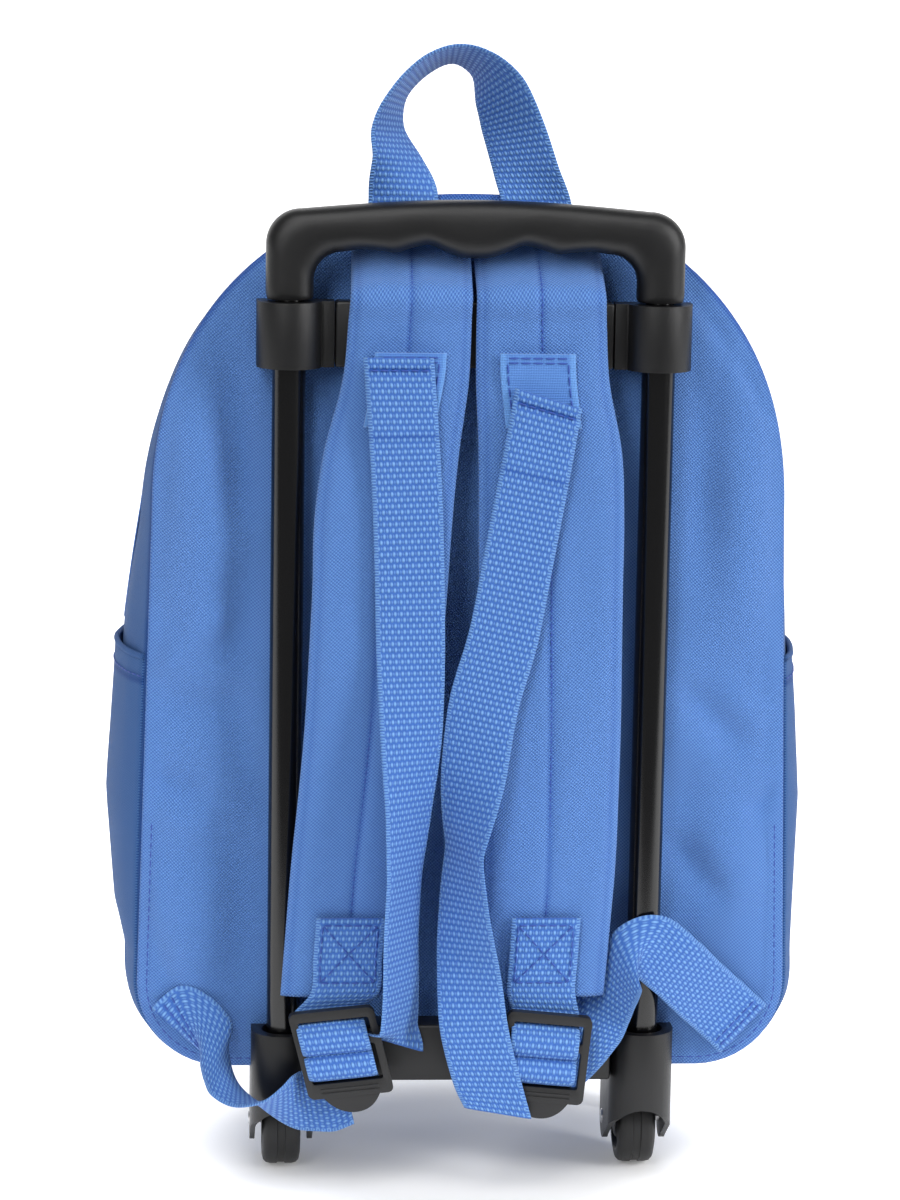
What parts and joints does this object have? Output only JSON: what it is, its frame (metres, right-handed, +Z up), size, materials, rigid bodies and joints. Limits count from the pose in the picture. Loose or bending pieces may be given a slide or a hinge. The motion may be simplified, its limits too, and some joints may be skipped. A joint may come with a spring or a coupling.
{
  "type": "wheeled backpack",
  "caption": "Child's blue cloth backpack on a trolley frame with a telescopic pull handle, small wheels, padded shoulder straps and a top grab loop.",
  "frame": {"origin": "on the floor, under the middle of the footprint", "axes": "+Z up, +X to the right as seen from the strap side, -Y towards the viewer of the strap side"},
  "size_m": [0.2628, 0.1504, 0.4176],
  "materials": {
    "fabric": "satin woven polyester",
    "webbing": "ribbed woven webbing",
    "plastic": "fine-grained moulded",
    "tube": "satin black powder coat",
    "rubber": "matte"
  },
  "bodies": {
    "bag_and_frame": {"back_panel": "fabric", "gusset": "fabric", "front_panel": "fabric", "main_zip": "webbing", "grab_loop": "webbing", "upper_crossbar": "plastic", "lower_crossbar": "plastic", "outer_tube_left": "tube", "upper_sleeve_left": "plastic", "wheel_housing_left": "plastic", "axle_left": "tube", "front_foot_left": "plastic", "side_pocket_left": "fabric", "shoulder_strap_left": "fabric", "strap_patch_left": "webbing", "strap_end_loop_left": "webbing", "ladder_buckle_left": "plastic", "lower_webbing_left": "webbing", "webbing_tail_left": "webbing", "outer_tube_right": "tube", "upper_sleeve_right": "plastic", "wheel_housing_right": "plastic", "axle_right": "tube", "front_foot_right": "plastic", "side_pocket_right": "fabric", "shoulder_strap_right": "fabric", "strap_patch_right": "webbing", "strap_end_loop_right": "webbing", "ladder_buckle_right": "plastic", "lower_webbing_right": "webbing", "webbing_tail_right": "webbing"},
    "handle": {"handle_grip": "plastic", "inner_tube_left": "tube", "inner_tube_right": "tube"},
    "wheel_left": {"wheel_left": "rubber"},
    "wheel_right": {"wheel_right": "rubber"}
  },
  "joints": [
    {"name": "handle_slide", "type": "slide", "parent": "bag_and_frame", "child": "handle", "axis": [0, 0, 1], "range_m": [0, 0.22]},
    {"name": "wheel_left_spin", "type": "hinge", "parent": "bag_and_frame", "child": "wheel_left", "pos_m": [-0.066, -0.02155, 0.017], "axis": [1, 0, 0], "continuous": true},
    {"name": "wheel_right_spin", "type": "hinge", "parent": "bag_and_frame", "child": "wheel_right", "pos_m": [0.066, -0.02155, 0.017], "axis": [1, 0, 0], "continuous": true}
  ]
}
